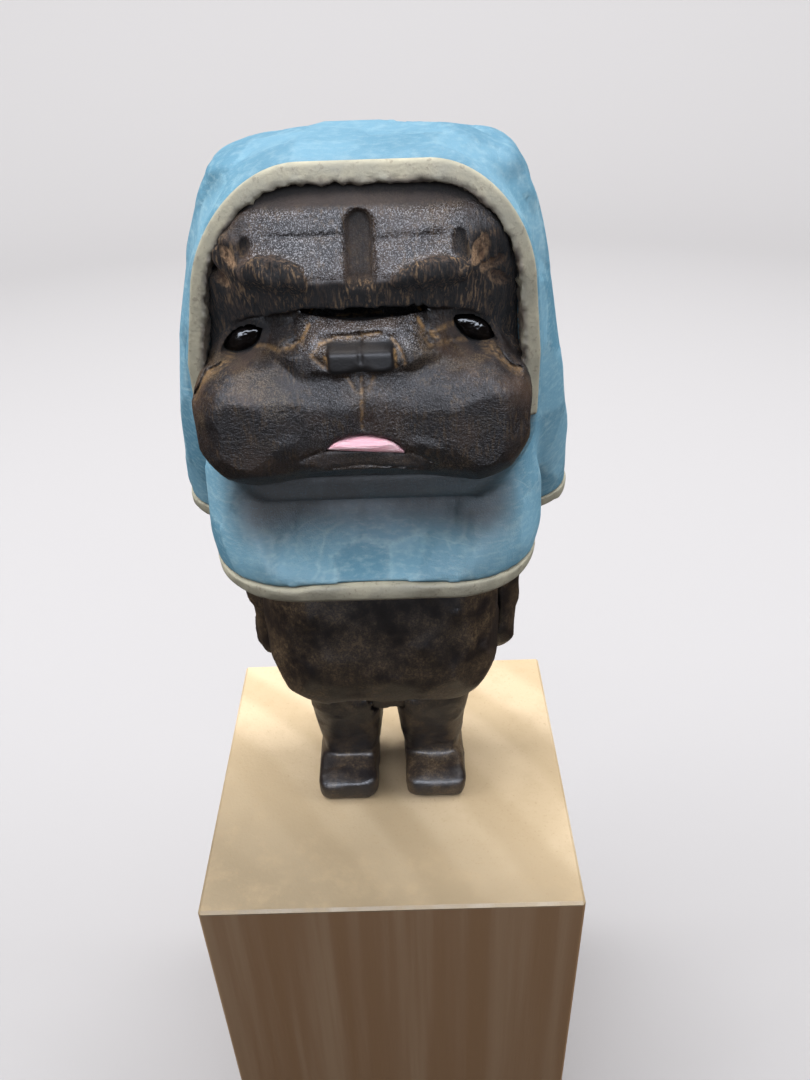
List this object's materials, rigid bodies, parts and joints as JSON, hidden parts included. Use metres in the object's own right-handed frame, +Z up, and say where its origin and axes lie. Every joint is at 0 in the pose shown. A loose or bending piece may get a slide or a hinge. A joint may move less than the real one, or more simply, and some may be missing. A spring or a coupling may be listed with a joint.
{
  "type": "carved wooden dog figurine",
  "caption": "Carved wooden bulldog figure standing upright in a painted hooded cape with pale trim, pinned by its feet to a plain square timber block that it lifts off.",
  "frame": {"origin": "centre of the pedestal block's underside, on the surface that it stands on", "axes": "+Z up along the block and the figure, the figure faces -Y, +X is to the right of a viewer who looks at its face"},
  "size_m": [0.055, 0.052, 0.179],
  "materials": {
    "pedestal_wood": "bare planed pale hardwood, straight grain upright",
    "dark_wood": "carved wood, dark brown stain with brindle flecks, satin varnish",
    "blue_paint": "carved wood, thin matte light blue paint rubbed through on ridges",
    "trim_paint": "carved wood, matte grey-beige paint",
    "tongue_paint": "carved wood, satin pink paint",
    "eye_gloss": "gloss black bead",
    "dowel_wood": "bare birch dowel",
    "pin_steel": "plain steel pin"
  },
  "bodies": {
    "pedestal": {"pedestal_block": "pedestal_wood"},
    "figure": {"left_foot_pin": "pin_steel", "right_foot_pin": "pin_steel", "left_hip_dowel": "dowel_wood", "right_hip_dowel": "dowel_wood", "left_shoulder_dowel": "dowel_wood", "right_shoulder_dowel": "dowel_wood", "neck_dowel": "dowel_wood", "left_leg": "dark_wood", "right_leg": "dark_wood", "torso": "dark_wood", "left_arm": "dark_wood", "right_arm": "dark_wood", "head": "dark_wood", "tongue": "tongue_paint", "left_eye": "eye_gloss", "right_eye": "eye_gloss", "hooded_cape": "blue_paint", "face_trim": "trim_paint", "hem_trim": "trim_paint"}
  },
  "joints": [
    {"name": "figure_lift", "type": "slide", "parent": "pedestal", "child": "figure", "axis": [0, 0, 1], "range_m": [0, 0.02]}
  ]
}
